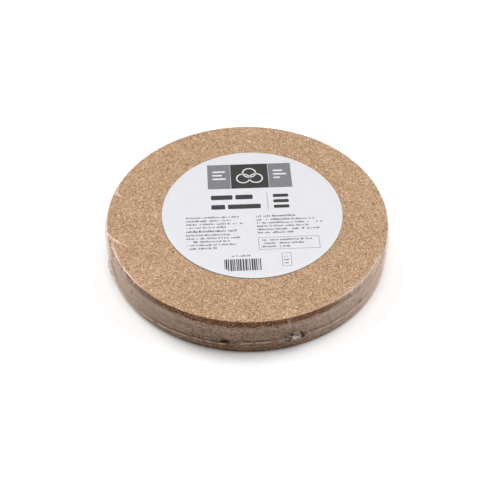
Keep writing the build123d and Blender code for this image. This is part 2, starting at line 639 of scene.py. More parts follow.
# %% Draw printed shapes
def bar(left, low, right, high, corner=0.0):
    """The loop of an upright rectangle, with round corners if asked."""
    if corner == 0:
        return [(left, low), (right, low), (right, high), (left, high)]
    middles = [(right - corner, low + corner), (right - corner, high - corner)]
    middles += [(left + corner, high - corner), (left + corner, low + corner)]
    loop = []
    for quarter, (x, y) in enumerate(middles):
        for step in range(5):
            turn = (quarter - 1 + step / 4) * pi / 2
            loop.append((x + corner * cos(turn), y + corner * sin(turn)))
    return loop


def circle(x, y, radius, count=72):
    return [(x + radius * cos(turn), y + radius * sin(turn)) for turn in np.arange(count) * tau / count]


def printed(name, shapes, material, layer=0):
    """One sheet of ink in these shapes: loops, or pairs of an outer and an inner loop."""
    base, top = card_top - ink_sunk + layer * ink_height, card_top + (layer + 1) * ink_height
    points, faces = [], []
    for shape in shapes:
        loops = shape if isinstance(shape, tuple) else (shape,)
        count, first = len(loops[0]), len(points)
        for height in (base, top):
            for loop in loops:
                points += on_label(loop, height).tolist()
        lift = count * len(loops)
        step = [(k, (k + 1) % count) for k in range(count)]
        faces += [(first + a, first + b, first + b + lift, first + a + lift) for a, b in step]
        if len(loops) == 1:
            faces += [[first + lift + k for k in range(count)], [first + k for k in range(count)][::-1]]
            continue
        inner = first + count
        faces += [(inner + b, inner + a, inner + a + lift, inner + b + lift) for a, b in step]
        faces += [(first + lift + a, first + lift + b, inner + lift + b, inner + lift + a) for a, b in step]
        faces += [(first + b, first + a, inner + a, inner + b) for a, b in step]
    sheet = new_piece(name, points, faces, material, smooth=False)
    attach(sheet, "label")
    count_faces(sheet)


def frame_of(left, low, right, high, line=0.35):
    """A thin printed box."""
    return (bar(left, low, right, high), bar(left + line, low + line, right - line, high - line))


# %% [markdown]
# The shapes are placed in millimetres from the label's middle, as on a printer's layout. The field of
# upright bars takes its widths and gaps from a draw with a fixed seed, so it encodes nothing.

# %% Print the label
panel_low, panel_high = 25.0, 51.0
side_panels = [bar(-30.4, panel_low, -13.9, panel_high), bar(13.9, panel_low, 30.4, panel_high)]
printed("print_dark_panel", [bar(-13.6, panel_low, 13.6, panel_high)], black_ink)
printed("print_grey_panels", side_panels, grey_ink)
ring_middles = [(-4.6, 35.6), (4.6, 35.6), (0, 41.4)]
ring_shapes = [(circle(x, y, 5.2), circle(x, y, 4.2)) for x, y in ring_middles]
short_bars = [(-27, 43.2, 9.5), (-27, 39.4, 7.2), (-27, 35.6, 9.9)]
short_bars += [(17.2, 43.2, 7.4), (17.2, 39.4, 9.8), (17.2, 35.6, 5.2)]
ring_shapes += [bar(x, y - 0.8, x + long, y + 0.8, 0.7) for x, y, long in short_bars]
printed("print_rings", ring_shapes, pale_ink, layer=1)

heading = [(-28.6, 13.6, -13.2, 18.2), (-11.2, 13.6, 1.2, 18.2)]
heading += [(-28.6, 3.8, -18.8, 8.4), (-16.8, 3.8, 6.4, 8.4)]
stack_bars = [(15.6, y, 26.6, y + 3.2) for y in (3.6, 9.2, 14.8)]
printed("print_heading", [bar(*box, 0.9) for box in heading + stack_bars], black_ink)
printed("print_rule", [bar(11.3, 2.2, 11.65, 19.8)], grey_ink)
printed("print_boxes", [frame_of(2.6, -37.0, 44.6, -25.2), frame_of(17.5, -53.0, 24.0, -40.6)], grey_ink)

draw = np.random.default_rng(11)
bar_widths, bar_gaps = [0.42, 0.75, 1.1], [0.42, 0.75]
code_bars, code_x = [], -21.5
while code_x < 3.6:
    wide, gap = draw.choice(bar_widths), draw.choice(bar_gaps)
    code_bars.append(bar(code_x, -56.0 if code_x > -20 else -54.4, code_x + wide, -45.2))
    code_x += wide + gap
printed("print_bars", code_bars, black_ink)

# %% [markdown]
# Small print is hundreds of tiny marks in rows, so a tree sets it. Each row is one point that knows
# its length and its letter height. The tree repeats that point along the row, drops some of the
# repeats to leave gaps between words, and puts a small block on each of the rest.

# %% Set the small print
def small_print_tree():
    graph, given = new_tree(
        "small_print",
        {
            "Letter Pitch": "Float",
            "Letter Width": "Float",
            "Ink Height": "Float",
            "Gap Share": "Float",
            "Seed": "Int",
            "Material": "Material",
        },
    )

    def kept(name):
        return graph.node("GeometryNodeInputNamedAttribute", {"data_type": "FLOAT"}, {"Name": name})

    def chance(low, high, salt):
        return graph.node(
            "FunctionNodeRandomValue",
            {"data_type": "FLOAT"},
            {2: low, 3: high, "Seed": given["Seed"] + salt},
            1,
        )

    pitch = kept("letter_height") * given["Letter Pitch"]
    starts = graph.node("GeometryNodeMeshToPoints", None, {"Mesh": given["Geometry"]})
    repeated = graph.node(
        "GeometryNodeDuplicateElements",
        {"domain": "POINT"},
        {"Geometry": starts, "Amount": kept("row_length") / pitch},
    )
    along = repeated.also("Duplicate Index") * pitch
    across, up = along * cos(label_turn), along * sin(label_turn)
    step = graph.node("ShaderNodeCombineXYZ", None, {"X": across, "Y": up})
    letters = graph.node("GeometryNodeSetPosition", None, {"Geometry": repeated, "Offset": step})
    gap = chance(0.0, 1.0, 1)
    words = graph.node(
        "GeometryNodeDeleteGeometry",
        {"domain": "POINT"},
        {"Geometry": letters, "Selection": gap.maths("LESS_THAN", gap, given["Gap Share"])},
    )
    block = graph.node("GeometryNodeMeshCube", None, {"Size": (1, 1, 1)})
    standing = graph.node(
        "GeometryNodeTransform", None, {"Geometry": block, "Translation": (0.5, 0.5, 0.5)}
    )
    tall = chance(0.0, 1.0, 2)
    size = graph.node(
        "ShaderNodeCombineXYZ",
        None,
        {
            "X": kept("letter_height") * given["Letter Width"] * chance(0.55, 1.15, 3),
            "Y": kept("letter_height") * (0.66 + 0.34 * tall.maths("GREATER_THAN", tall, 0.6)),
            "Z": given["Ink Height"],
        },
    )
    turn = (0, 0, label_turn)
    blocks = graph.node(
        "GeometryNodeInstanceOnPoints",
        None,
        {"Points": words, "Instance": standing, "Rotation": turn, "Scale": size},
    )
    return end_tree(graph, blocks, given["Material"])


small_print = small_print_tree()
# Each row: where it starts, its length and its letter height, in millimetres
left_rows = [(-4.8, 38, 1.6), (-8.2, 33, 1.6), (-11.4, 40, 1.6), (-14.6, 28, 1.6), (-18.6, 36, 2.1)]
left_rows += [(-22.0, 32, 1.6), (-25.2, 38, 1.6), (-28.4, 30, 1.6), (-31.6, 34, 1.6), (-34.8, 22, 1.6)]
right_rows = [(-5.2, 29, 2.1), (-8.6, 41, 1.6), (-11.8, 47, 1.6), (-15.0, 36, 1.6), (-18.2, 44, 1.6)]
right_rows += [(-21.4, 25, 1.6)]
boxed_rows = [(-28.6, 37, 1.7), (-31.8, 31, 1.6), (-35.0, 21, 1.6)]
other_rows = [(-16.2, -43.0, 15, 1.6), (19.1, -44.6, 3.6, 1.5), (18.9, -47.6, 4.0, 1.5)]
other_rows += [(19.1, -50.6, 3.4, 1.5)]
rows = [(-46.6, *row) for row in left_rows] + [(2.6, *row) for row in right_rows]
rows += [(4.4, *row) for row in boxed_rows] + other_rows
row_starts = on_label([(x, y) for x, y, *sizes in rows], card_top - ink_sunk)
text = new_piece("print_small", row_starts, [])
store(text, "row_length", [length * mm for *place, length, height in rows])
store(text, "letter_height", [height * mm for *place, height in rows])
grow(
    text,
    small_print,
    {
        "Letter Pitch": 0.60,
        "Letter Width": 0.42,
        "Ink Height": (ink_height + ink_sunk) * mm,
        "Gap Share": 0.17,
        "Seed": 4,
        "Material": black_ink,
    },
)
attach(text, "label")

# %% [markdown]
# The film is a clear bag that hot air has shrunk. Its surface is described once, in a flat map: how
# far round the stack a point lies, and how far down from the rim, with the top counted as negative.
# On that map the weld is a wavy line, and each fold is a straight crease with a height, a width and a
# milkiness, because doubled film looks white. The cup above the weld and the dish below it are cut
# from the same map, so they meet.

# %% Map the film
# The film in millimetres: its radius at the rim and at the weld, the height of its top, how much
# higher it lies over the label, how round its rim is, and how thick it is
film_radius = 98.4
weld_radius = 99.12
film_top = 30.24
over_label = 0.56
film_corner = 0.6
film_wall = 0.05

# The bag's corners, and how dark the painted shade in their slots is
corner_azimuths = (18.6, 108.6, 198.6, 288.6)
corner_darkness = (1.0, 1.0, 0.25, 1.0)

# The weld's height in millimetres at some azimuths
weld_map = [(0, 9.9), (20, 9.7), (50, 9.2), (80, 9.8), (108, 9.6), (140, 10.1), (170, 9.4)]
weld_map += [(198, 8.6), (215, 7.1), (230, 6.5), (240, 7.2), (251, 8.0), (258, 8.1), (263, 8.6)]
weld_map += [(268, 10.0), (273, 10.6), (283, 10.7), (294, 11.1), (304, 10.4), (320, 10.6), (340, 10.2)]


def weld_height(azimuth):
    """Height of the weld at each azimuth, in millimetres."""
    around = np.array([place for place, height in weld_map], float)
    heights = np.array([height for place, height in weld_map], float)
    spread = [np.interp(azimuth + shift, around, heights, period=360) for shift in (-4, -2, 0, 2, 4)]
    return np.average(spread, axis=0, weights=(1, 2, 3, 2, 1))


def away(azimuth, middle):
    """Degrees from middle to each azimuth, the short way round."""
    return (azimuth - middle + 180) % 360 - 180


def ripple(points, across, up, seed):
    """Smooth random values between about -1 and 1, with waves of these sizes in millimetres."""
    scaled = np.asarray(points) / (across, across, up) + (seed * 7.3, seed * 3.1, seed * 5.7)
    return np.array([noise.noise(place) for place in scaled.tolist()])


def hump(distance, reach, power=2):
    """1 at no distance and nearly 0 past reach. A higher power has a flatter top."""
    return np.exp(-((distance / reach) ** power))


def patches(azimuth, places):
    """Soft patches round the stack, added up: azimuth, half length and strength of each."""
    return sum(strength * hump(away(azimuth, middle), half) for middle, half, strength in places)


heights = [height for place, height in weld_map]
print("the weld stands between", min(heights), "and", max(heights), "mm")

# %% [markdown]
# These folds were placed where a wrapped stack shows them. The bag's four corners are pulled flat
# against the side, and from each of them a crease runs up over the rim and dies out on the top. At the
# left the film stands away from the cork, and there its folds are longest. A line of creases could be
# drawn at random, but folds that lead somewhere look like film, so each is placed one by one.

# %% Place the folds
# Each fold: azimuth and run at one end, the same at the other, height, half width, milkiness
folds = [
    (190.0, 2.0, 193.8, -1.5, 0.8, 0.9, 0.50),
    (193.8, -1.5, 198.6, -7.2, 0.50, 0.6, 0.70),
    (195.8, -3.0, 199.0, -8.6, 0.20, 0.4, 0.35),
    (199.2, -8.4, 200.2, -9.8, 0.15, 0.5, 0.40),
    (196.4, -1.6, 208.5, -0.8, 0.40, 0.45, 0.50),
    (208.5, -0.8, 225.0, -0.5, 0.30, 0.4, 0.38),
    (203.0, 1.6, 214.0, 5.2, 0.4, 0.8, 0.35),
    (166.0, 0.5, 168.8, -6.6, 0.45, 0.6, 0.55),
    (163.0, -0.8, 168.0, -2.4, 0.3, 0.5, 0.40),
    (107.2, 1.5, 108.8, -2.4, 0.8, 0.9, 0.35),
    (24.0, -0.6, 23.6, -5.4, 0.3, 0.5, 0.35),
    (12.0, 1.0, 12.4, -2.2, 0.5, 0.8, 0.35),
    (48.0, -0.4, 48.3, -3.2, 0.25, 0.5, 0.25),
    (287.0, 12.0, 286.0, -0.6, 0.3, 0.55, 0.20),
    (286.0, -0.6, 285.6, -4.8, 0.25, 0.5, 0.30),
    (291.8, 0.0, 292.5, -2.2, 0.2, 0.5, 0.25),
    (18.6, 13.0, 22.0, 0.0, 0.3, 0.6, 0.20),
    (108.6, 13.0, 108.0, 1.0, 0.3, 0.6, 0.20),
    (198.6, 12.0, 196.5, 3.0, 0.4, 0.8, 0.30),
]
# Places on the rim where crumpled film catches the light: azimuth, half length, strength
rim_crumbs = [(334, 9, 0.42), (318, 8, 0.22), (216, 9, 0.40), (200, 10, 0.30), (232, 7, 0.12)]
rim_crumbs += [(88, 16, 0.15), (8, 12, 0.28), (150, 20, 0.25), (52, 14, 0.18)]
# Places where the film bellies out from the cork: azimuth, half length, how far in millimetres
bellies = [(181, 17, 1.4), (348, 16, 0.9), (68, 22, 0.8), (140, 14, 0.7)]
print(len(folds), "folds,", len(rim_crumbs), "crumpled places and", len(bellies), "bellies")


def near_folds(azimuth, run):
    """Height and milkiness of the folds at places on the map."""
    lift, milk = np.zeros_like(run), np.zeros_like(run)
    per_degree = film_radius * tau / 360
    for start, start_run, end, end_run, height, width, white in folds:
        x, y = away(azimuth, start) * per_degree, run - start_run
        run_x, run_y = away(end, start) * per_degree, end_run - start_run
        long = run_x**2 + run_y**2
        share = np.clip((x * run_x + y * run_y) / long, 0, 1)
        gap = np.hypot(x - share * run_x, y - share * run_y)
        close = hump(gap, width) * (0.35 + 0.65 * np.sin(pi * np.clip(share, 0.08, 0.92)))
        lift, milk = lift + height * close, np.maximum(milk, white * close)
    return lift, milk


# %% [markdown]
# Two things are worked out for every point of the map. The first is how far the film stands off its
# smooth shape: folds, bellies, puckers at the rim, slow waves on the side, and the faint line where it
# spans the groove between the upper two discs. The second is how milky it is there.
# Milkiness follows the folds, and a thin veil of it lies where the film is slack.

# %% Raise the film
# Height of the film's line over the upper groove, and the part of the side that can belly out: its
# top and depth
seam_height = 19.8
belly_top, belly_depth = 29.0, 13.5
# Azimuths between which the film goes from loose to clinging at the left, and back at the right
left_hold, right_hold = (214, 240), (298, 322)


def looseness(azimuth):
    """0 at the front, where the film clings to the cork, and 1 elsewhere."""
    return 1 - ease(azimuth, *left_hold) * (1 - ease(azimuth, *right_hold))


def film_relief(points, azimuth, run):
    """How far the film stands off its smooth shape, and how milky it is, at places on the map."""
    height = points[:, 2]
    lift, milk = near_folds(azimuth, run)
    belly = np.sin(pi * np.clip((belly_top - height) / belly_depth, 0, 1)) ** 1.3
    lift += patches(azimuth, bellies) * belly * (1 + 0.25 * ripple(points, 9, 6, 1))

    at_rim, crumbs = hump(run - 0.4, 2.2), patches(azimuth, rim_crumbs)
    pucker = ripple(points, 1.5, 9, 2)
    lift += at_rim * (0.05 + 0.5 * crumbs) * np.maximum(pucker, -0.3)
    milk = np.maximum(milk, at_rim * crumbs * ease(pucker + 0.5 * ripple(points, 0.9, 2, 3), 0.05, 0.5))
    milk += 0.26 * hump(run - 0.9, 1.7) * hump(away(azimuth, 322), 16, 4)

    on_side = ease(run, 1.5, 4.0)
    slack = 0.35 + 0.65 * looseness(azimuth)
    lift += on_side * slack * (0.10 * ripple(points, 24, 1.6, 4) + 0.12 * ripple(points, 14, 7, 5))
    seam = hump(height - seam_height - 0.35 * ripple(points, 30, 30, 6), 0.35)
    broken = ease(ripple(points, 16, 16, 7), -0.35, 0.25)
    lift += 0.16 * seam * on_side
    milk = np.maximum(milk, 0.13 * seam * broken * on_side)

    below_rim = 1 - ease(height, 24.0, 27.0)
    above_weld = height - weld_height(azimuth)
    veil = 0.09 * looseness(azimuth) * (1 + 0.5 * ripple(points, 26, 3, 10))
    veil += 0.085 * hump(away(azimuth, 303), 19) * below_rim * ease(height, 5, 13)
    veil += 0.045 * hump(away(azimuth, 239), 10) * below_rim
    veil *= 1 - 0.85 * hump(above_weld - 1.6, 0.75)
    return lift, milk + veil * on_side


print("the film's relief is a sum of folds, bellies, puckers, waves and a seam")

# %% [markdown]
# Film that touches the cork has no air behind it, so it hardly mirrors, and film that stands free
# mirrors fully. So the map also says how strong the mirror is, which is its sheen, and how tightly the
# film clings just under the rim. The sheen changes with height, because the film touches each disc at
# its middle and spans the grooves. It fades near the four corners, where the film is crumpled.

# %% Tell where the film touches
# The film's mirror at each height on the side, where 1 is plain film and less is film stuck to cork
sheen_levels = [(0, 0.35), (1.2, 0.5), (10, 0.7), (14, 0.9), (17, 0.95), (18.6, 0.75), (20, 0.62)]
sheen_levels += [(20.5, 1.15), (22, 1.25), (25, 1.1), (30, 1.1)]
free_sheen = 0.95
# Inwards of this run, in millimetres from the rim, the film lies flat on the top disc and the card
top_run = -1.2
# How far a corner's crumple reaches round the side and up it
crumple_across, crumple_up = 10, 5
# The weld pulls the film off the cork in a thin dull line just above it: its height and half width
pull_height, pull_reach = 1.6, 0.8
# Azimuths between which the tight band under the rim starts at the left, and ends at the right
left_band, right_band = (196, 242), (291, 338)


def film_sheen(azimuth, height, run):
    """How much the film mirrors, and how tightly it clings below the rim, at places on the map."""
    loose = looseness(azimuth)
    above_weld = height - weld_height(azimuth)
    levels = np.interp(height, *np.array(sheen_levels).T)
    levels = levels * (1 - 0.62 * hump(above_weld - pull_height, pull_reach))
    levels = np.where(above_weld < 0, 0.50 + 0.45 * hump(away(azimuth, 298), 15), levels)
    sheen = levels + (free_sheen - levels) * loose
    sheen = sheen * (1 - 0.92 * (1 - loose) * (1 - ease(height, 0.8, 3.2)))
    for corner, dark in zip(corner_azimuths, corner_darkness):
        x = away(azimuth, corner) * film_radius * tau / 360 / crumple_across
        y = above_weld / crumple_up
        sheen = sheen * (1 - 0.9 * dark * np.exp(-(x**4) - y**4))
    tight = ease(azimuth, *left_band) * (1 - ease(azimuth, *right_band))
    return np.where(run < top_run, 1.0, sheen), tight * ease(run, top_run, -0.3)


front = film_sheen(np.array([270.0]), np.array([25.0]), np.array([5.0]))
print("at the front under the rim, sheen and cling:", [round(float(part[0]), 2) for part in front])

# %% [markdown]
# The cup is a sheet over the top and a skirt down to the weld. Its rings are close together where the
# film is folded, at the rim and on the side, and far apart on the flat top. The single sheet gets its
# wall from a Solidify modifier, which also closes it along the weld and round the vent holes.

# %% Draw the film as one sheet
film_count = 768
corner_run = film_corner * pi / 2
# Half the gap between the cup's edge and the dish's, where the weld bead lies
edge_gap = 0.12
top_runs = [(0, 1), (10, 48), (20, 96), (34, 192), (48, 192), (56, 384), (62, 384), (66, 384)]
top_runs += [(72, 768), (78, 768), (83, 768), (86.5, 768)]
rim_runs = [-9.6, -8.6, -7.6, -6.7, -5.8, -4.9, -4.1, -3.3, -2.6, -1.9, -1.2, -0.6, 0.0]
film_middle = np.array([card_middle.x, card_middle.y]) / mm


def sheet_ring(radius, height, count, out_part, up_part, run):
    """One ring of the sheet, lifted by its folds, with each point's milkiness, sheen and cling."""
    azimuth = np.arange(count) * 360 / count
    turn = np.radians(azimuth)
    wide = [np.broadcast_to(value, (count,)).astype(float) for value in (radius, height, run)]
    radius, height, run = wide
    points = np.stack([radius * np.cos(turn), radius * np.sin(turn), height], axis=1)
    from_label = np.hypot(*(points[:, :2] - film_middle).T)
    points[:, 2] += up_part * over_label * (1 - ease(from_label, card_radius + 0.3, card_radius + 13))
    lift, milk = film_relief(points, azimuth, run)
    points[:, 0] += lift * out_part * np.cos(turn)
    points[:, 1] += lift * out_part * np.sin(turn)
    points[:, 2] += lift * up_part
    return points, np.stack([milk, *film_sheen(azimuth, height, run)], axis=1)


def rim_ring(run):
    """One ring near the rim, at a run from the corner that the film bends round."""
    if run < 0:
        radius, height, out_part, up_part = film_radius - film_corner + run, film_top, 0.0, 1.0
    elif run < corner_run:
        turn = run / film_corner
        out_part, up_part = sin(turn), cos(turn)
        radius, height = film_radius - film_corner * (1 - out_part), film_top - film_corner * (1 - up_part)
    else:
        radius, height, out_part, up_part = film_radius, film_top - film_corner, 1.0, 0.0
    return sheet_ring(radius, height, film_count, out_part, up_part, run)


def side_ring(share, low, high, low_radius, high_radius):
    """One ring on the side, a share of the way down from high to low, which may wander."""
    height = high + share * (low - high)
    radius = high_radius + share * (low_radius - high_radius)
    return sheet_ring(radius, height, film_count, 1.0, 0.0, film_top - height + corner_run - film_corner)


weld_line = weld_height(np.arange(film_count) * 360 / film_count)
cup_low, cup_high = weld_line + edge_gap, film_top - film_corner
cup_rings = [(np.array([(0, 0, film_top + over_label)]), np.array([(0, 1, 0)]))]
for radius, count in top_runs[1:]:
    cup_rings.append(sheet_ring(radius, film_top, count, 0.0, 1.0, radius - film_radius + film_corner))
for run in rim_runs + [corner_run * share for share in (0.25, 0.5, 0.75, 1.0)]:
    cup_rings.append(rim_ring(run))
for share in np.linspace(0, 1, 31)[1:]:
    cup_rings.append(side_ring(share, cup_low, cup_high, weld_radius, film_radius))
cup_points, cup_faces = skin([points for points, looks in cup_rings])
cup_looks = np.concatenate([looks for points, looks in cup_rings])
print("cup sheet of", len(cup_faces), "faces")

# %% [markdown]
# The wrapping machine pricks small vent holes in the bag so that air can leave as it shrinks. Three of
# them ended up just above the weld, beside the dark groove between two discs. The faces inside each
# hole are left out of the sheet, and the points on its border are drawn onto a neat oval.

# %% Prick the vent holes
# Each hole: azimuth, height, half its width and half its height, in millimetres
vents = [(261.9, 10.6, 3.2, 1.5), (320.5, 11.6, 2.1, 0.95), (203.6, 10.6, 1.1, 0.8)]
# Points on the far side of the stack count as this many half widths away from a hole
out_of_reach = 9


def pricked(points, faces):
    """The same points and faces with the vent holes cut out."""
    for azimuth, height, half_wide, half_high in vents:
        turn = radians(azimuth)
        around = points @ (-sin(turn), cos(turn), 0)
        outwards = points @ (cos(turn), sin(turn), 0)
        x, y = around / half_wide, (points[:, 2] - height) / half_high
        x[outwards < 0] = out_of_reach
        inside = np.array([np.hypot(x[face].mean(), y[face].mean()) < 1 for face in map(list, faces)])
        gone = {corner for face, cut in zip(faces, inside) if cut for corner in face}
        faces = [face for face, cut in zip(faces, inside) if not cut]
        border = sorted(gone & {corner for face in faces for corner in face})
        scale = 1 / np.hypot(x[border], y[border])
        shift = around[border] * (scale - 1)
        points[border, 0] += shift * -sin(turn)
        points[border, 1] += shift * cos(turn)
        points[border, 2] = height + (points[border, 2] - height) * scale
    return points, faces


def drop_unused(points, faces, values):
    """Leave out the points that no face uses."""
    used = np.unique([corner for face in faces for corner in face])
    number = np.zeros(len(points), int)
    number[used] = np.arange(len(used))
    return points[used], [[int(number[corner]) for corner in face] for face in faces], values[used]


cup_points, cup_faces = pricked(cup_points, cup_faces)
cup_points, cup_faces, cup_looks = drop_unused(cup_points, cup_faces, cup_looks)
print("after the vents", len(cup_faces), "faces")

# %% [markdown]
# Clear film shows itself in two ways. It mirrors its surroundings weakly, more so at a slant, and it
# is milky where it is doubled or scuffed. So a see-through shader is mixed with a mirror by the angle
# of sight, and then with plain white by the milkiness that the map gave. On the flat top the mirror is
# weakest, and on the side it breaks up into grains, because the film touches the cork grain by grain.
# Fine scratches drawn out round the side make the milkiness streaky. Where the film clings below the
# rim it hardly mirrors at all, and the edge of that dark band is torn into long teeth.

# %% Mix the film
film_milk = colour(0.93, 0.75, 0.635)
film_shine = colour(1.0, 0.83, 0.69)
streak_milk = 0.03
# The film's mirror seen straight on, what upright film adds to it, and what a full slant adds
mirror_flat, mirror_upright, mirror_slant = 0.018, 0.017, 0.43
# How unevenly film on the side touches the cork, grain by grain, and how dull the clinging band is
grainy, band_dull = 0.95, 0.92
# The band under the rim where the film clings, from its ragged lower edge to its full strength
band_low, band_high, band_ragged = 23.9, 26.6, 2.6


def film_layers(graph, mirror, milky, shine, white):
    """Clear film under a share of mirror, and both under a share of milk, which have these sockets."""
    clear = graph.node("ShaderNodeBsdfTransparent", None, {"Color": colour(1, 1, 1)})
    gloss = graph.node("ShaderNodeBsdfAnisotropic", None, {"Color": film_shine, **shine})
    milk = graph.node("ShaderNodeBsdfDiffuse", None, white)
    glossy = graph.node("ShaderNodeMixShader", None, {0: mirror, 1: clear, 2: gloss})
    return graph.node("ShaderNodeMixShader", None, {0: milky, 1: glossy, 2: milk})


def slant_of(graph):
    """0 where a surface is seen straight on, and 1 where it is seen edge on."""
    return graph.node("ShaderNodeLayerWeight", None, {"Blend": 0.5}, "Facing")


def film_paint():
    material, graph = new_material("film")
    place = graph.place()

    def waves(across, up, detail):
        """Noise drawn out to these sizes in millimetres, round the side and up it."""
        return graph.noise(graph.stretched(place, 1 / (across * mm), 1 / (up * mm)), 1.0, detail)

    side, sheen, slant = graph.side(0.3, 0.8), graph.kept("sheen"), slant_of(graph)
    height = graph.node("ShaderNodeSeparateXYZ", None, {"Vector": place}, "Z")
    ragged = height + (waves(1.4, 1.4, 3.0) - 0.5) * (band_ragged * mm)
    teeth = (graph.kept("cling") + (waves(1.0, 7, 2.0) - 0.5) * 1.9).rise(0.28, 0.62)
    cling = ragged.rise(band_low * mm, band_high * mm) * teeth
    touching = 1 + side * (waves(0.8, 1.1, 3.0).rise(0.38, 0.62) - 0.5) * grainy
    mirror = mirror_flat + mirror_upright * side + mirror_slant * slant**3.2
    mirror = mirror * sheen * (1 - band_dull * cling) * touching
    streaks = waves(30, 0.8, 3.0).rise(0.40, 0.75)
    milky = graph.kept("milk") * touching * 0.85 + side * sheen * (1 - cling) * streaks * streak_milk
    crinkle = graph.bump(waves(9, 1.6, 3.0) * side, 0.10, 0.15)
    shine = {"Roughness": 0.22, "Normal": crinkle}
    graph.surface(film_layers(graph, mirror, milky, shine, {"Color": film_milk}))
    return material


film = film_paint()
print("film mixed with", len(film.node_tree.nodes), "nodes")

# %% [markdown]
# Both halves of the film become pieces in the same way. The sheet has no thickness yet, so it keeps
# what the map gave for each of its points, and then Solidify adds the wall on its inner side. A wall
# could be left out, but a ray that crosses a single sheet sees no edge at a hole or a rim.

# %% Hang the cup
def film_sheet(name, points, faces, looks, node, body):
    """A piece of film with its wall, in place of a CAD node."""
    sheet = new_piece(name, points, faces, film)
    for title, values in zip(("milk", "sheen", "cling"), looks.T):
        store(sheet, title, values)
    wall = sheet.modifiers.new("wall", "SOLIDIFY")
    wall.thickness, wall.offset = film_wall * mm, -1
    evaluated = sheet.evaluated_get(bpy.context.evaluated_depsgraph_get())
    sheet.data = bpy.data.meshes.new_from_object(evaluated)
    sheet.modifiers.clear()
    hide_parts(node)
    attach(sheet, body)
    count_faces(sheet)


film_sheet("film_cup", cup_points, cup_faces, cup_looks, "film_upper", "upper_wrap")

# %% [markdown]
# Below the weld the film goes down the side, round the lower rim and across the underside, where the
# weight of the stack presses it flat on the table.

# %% Draw the dish
dish_base = 0.0
dish_corner = 0.3
dish_radius = 98.75
flat_runs = [(94, 768), (88, 768), (80, 768)] + top_runs[:9][::-1]
dish_low, dish_high = np.full(film_count, dish_base + dish_corner), weld_line - edge_gap
dish_rings = []
for share in np.linspace(0, 1, 15):
    dish_rings.append(side_ring(share, dish_low, dish_high, dish_radius, weld_radius))
for step in (1, 2, 3, 4):
    turn = step / 4 * pi / 2
    radius = dish_radius - dish_corner * (1 - cos(turn))
    points = ring(radius, dish_base + dish_corner * (1 - sin(turn)), film_count)
    dish_rings.append((points, np.tile((0, 0.3, 0), (film_count, 1))))
for radius, count in flat_runs:
    dish_rings.append((ring(radius, dish_base, count), np.tile((0, 1, 0), (count, 1))))
dish_points, dish_faces = skin([points for points, looks in dish_rings])
dish_looks = np.concatenate([looks for points, looks in dish_rings])
film_sheet("film_dish", dish_points, dish_faces, dish_looks, "film_lower", "lower_wrap")

# %% [markdown]
# The weld is a fine bead of melted film that runs round the side in a wavy line. It follows a path, so
# a tree makes it: the path becomes a curve, its thickness swells and thins at random, and a small
# round section is swept along it. It is white in dashes, where the melt is full of bubbles.

# %% Run the weld bead
def bead_tree():
    sizes = dict.fromkeys(("Thickness", "Swell", "Swell Length", "Seed"), "Float")
    graph, given = new_tree("bead", {**sizes, "Material": "Material"})
    path = graph.node("GeometryNodeMeshToCurve", None, {"Mesh": given["Geometry"]})
    place = graph.node("GeometryNodeInputPosition")
    lumps = graph.node(
        "ShaderNodeTexNoise",
        {"noise_dimensions": "4D"},
        {"Vector": place, "W": given["Seed"], "Scale": 1 / given["Swell Length"], "Detail": 1.0},
    )
    size = given["Thickness"] / 2 * (1 + (lumps - 0.5) * 2 * given["Swell"])
    thick = graph.node("GeometryNodeSetCurveRadius", None, {"Curve": path, "Radius": size})
    section = graph.node("GeometryNodeCurvePrimitiveCircle", None, {"Resolution": 8, "Radius": 1.0})
    sockets = {"Curve": thick, "Profile Curve": section, "Scale": size}
    return end_tree(graph, graph.node("GeometryNodeCurveToMesh", None, sockets), given["Material"])


def weld_paint():
    material, graph = new_material("film_weld")
    place = graph.place()
    dashes, fine = graph.noise(place, 1 / (7 * mm), 2.0), graph.noise(place, 1 / (0.8 * mm), 2.0)
    milky = 0.08 + dashes.rise(0.38, 0.58) * 0.42 + fine * 0.18
    mirror = 0.04 + 0.96 * slant_of(graph) ** 5
    white = {"Color": colour(0.88, 0.77, 0.69)}
    graph.surface(film_layers(graph, mirror, milky, {"Roughness": 0.18}, white))
    return material


bead_points = ring(1, 0, film_count) * (weld_radius + edge_gap, weld_radius + edge_gap, 1)
bead_points[:, 2] = weld_line
bead_edges = [(k, (k + 1) % film_count) for k in range(film_count)]
bead = new_piece("weld_bead_line", bead_points, [], edges=bead_edges)
bead_sizes = {"Thickness": 0.34 * mm, "Swell": 0.6, "Swell Length": 5 * mm, "Seed": 2.0}
grow(bead, bead_tree(), {**bead_sizes, "Material": weld_paint()})
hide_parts("seal_bead")
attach(bead, "lower_wrap")

# %% [markdown]
# A bag has corners and a stack of discs has none, so the spare film shrinks into a crumpled bunch at
# each of the four. A bunch is a patch of small pleats that fan out from a swirled lump. Cloth could be
# simulated, but hot film melts as it shrinks and its pleats stick together, so the patch is drawn as
# a height over the side: a low swell, sharp ridges that wind a little, and a lump in the middle. No
# two pleats are alike in length, width, bend or strength, since an even fan would look like a star.

# %% Crumple a corner
bunch_rings, bunch_count = 30, 160
bunch_across, bunch_up = 11.0, 6.0
bunch_stand_off = 99.42
bunch_rise = 1.2
bunch_edge = 0.05
pleat_count = 11
# Heights in millimetres of the low swell, the pleats, the lumps in the middle and the fine creases
swell_high, pleat_high, lump_high, crease_high = 0.35, 0.90, 1.1, 0.35
# Least and most of a pleat's half width, bend and strength
pleat_limits = ((0.35, 0.85), (-1.3, 1.3), (0.25, 1.0))


